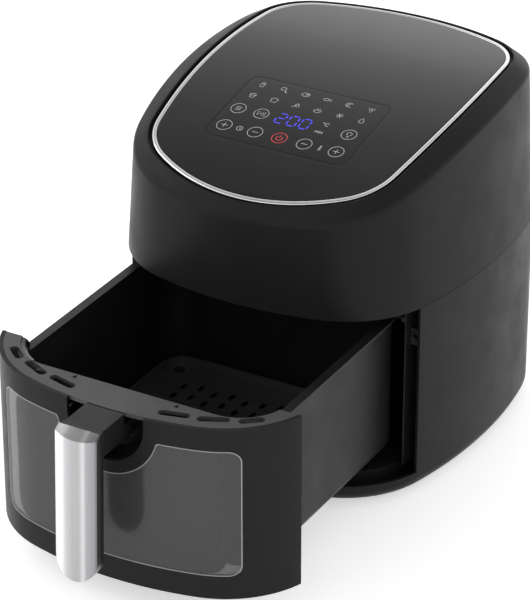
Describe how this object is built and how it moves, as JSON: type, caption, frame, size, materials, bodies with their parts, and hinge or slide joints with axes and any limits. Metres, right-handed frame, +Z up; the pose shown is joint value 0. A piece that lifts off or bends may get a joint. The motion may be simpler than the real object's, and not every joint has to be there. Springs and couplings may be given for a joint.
{
  "type": "air fryer",
  "caption": "Drawer air fryer with a window in the drawer front, a crisper tray, a touch top and a fan heater over the pan.",
  "frame": {"origin": "on the plane of the feet, under the centre of the body without its handle", "axes": "+Z up, front and handle towards -Y, +X to the right seen from behind the camera at the front; rest pose has the drawer drawn out 181 mm"},
  "size_m": [0.283, 0.5393, 0.2895],
  "materials": {
    "black_abs": "satin moulded, fine grain",
    "black_pp": "moulded matt",
    "rubber": "matt",
    "steel": "zinc plated",
    "gloss_black": "polished",
    "bright_metal": "bright plated",
    "touch_glass": "tinted, printed from behind",
    "board": "solder mask",
    "display": "tinted",
    "liner_steel": "aluminised sheet",
    "blanket": "glass fibre",
    "element": "oxidised sheath",
    "ceramic": "glazed ceramic",
    "chromed_wire": "plated wire",
    "motor_steel": "plain steel",
    "shaft_steel": "ground steel",
    "aluminium": "pressed sheet",
    "clear_glass": "clear tempered",
    "smoked_glass": "smoked tempered, gloss",
    "band_plastic": "satin moulded",
    "bezel_plastic": "satin moulded",
    "arm_plastic": "satin moulded",
    "satin_silver": "satin anodised",
    "coated_steel": "non-stick coating",
    "silicone": "matt silicone"
  },
  "bodies": {
    "housing": {"upper_housing": "black_abs", "lower_housing": "black_abs", "base_plate": "black_pp", "rubber_feet": "rubber", "base_screws": "steel", "top_panel": "gloss_black", "trim_ring": "bright_metal", "touch_window": "touch_glass", "touch_board": "board", "display_module": "display", "chamber_liner": "liner_steel", "left_rail": "liner_steel", "right_rail": "liner_steel", "heater_dish": "liner_steel", "insulation_blanket": "blanket", "heating_element": "element", "element_holders": "ceramic", "guard_grille": "chromed_wire", "motor_bracket": "liner_steel", "motor": "motor_steel", "thermal_cutout": "ceramic", "air_sensor": "shaft_steel", "oven_lamp": "ceramic", "lamp_glass": "clear_glass", "board_tray": "black_pp", "power_board": "board", "switch_body": "black_pp", "exhaust_grille": "black_abs", "cord_gland": "rubber"},
    "fan_rotor": {"motor_shaft": "shaft_steel", "convection_fan": "aluminium", "cooling_fan": "black_pp"},
    "drawer": {"fascia_shell": "black_abs", "fascia_band": "band_plastic", "recess_cup": "gloss_black", "window_glass": "smoked_glass", "window_bezel": "bezel_plastic", "inner_glass": "clear_glass", "glass_gasket": "rubber", "glass_clips": "steel", "handle_arm": "arm_plastic", "handle_grip": "satin_silver", "handle_screws": "steel", "pan": "coated_steel", "pan_bracket": "steel", "switch_tongue": "black_pp"},
    "tray": {"crisper_tray": "coated_steel", "tray_bumpers": "silicone"},
    "plunger": {"switch_plunger": "black_pp"}
  },
  "joints": [
    {"name": "drawer_slide", "type": "slide", "parent": "housing", "child": "drawer", "axis": [0, -1, 0], "range_m": [-0.181, 0.01]},
    {"name": "tray_lift", "type": "slide", "parent": "drawer", "child": "tray", "axis": [0, 0, 1], "range_m": [0, 0.08]},
    {"name": "fan_spin", "type": "hinge", "parent": "housing", "child": "fan_rotor", "pos_m": [0, 0.01145, 0.2], "axis": [0, 0, 1], "continuous": true},
    {"name": "switch_press", "type": "slide", "parent": "housing", "child": "plunger", "axis": [0, 1, 0], "range_m": [-0.0002, 0.0031]}
  ],
  "couplings": [
    {"joint": "switch_press", "follows": "drawer_slide", "ratio": -0.016575}
  ]
}
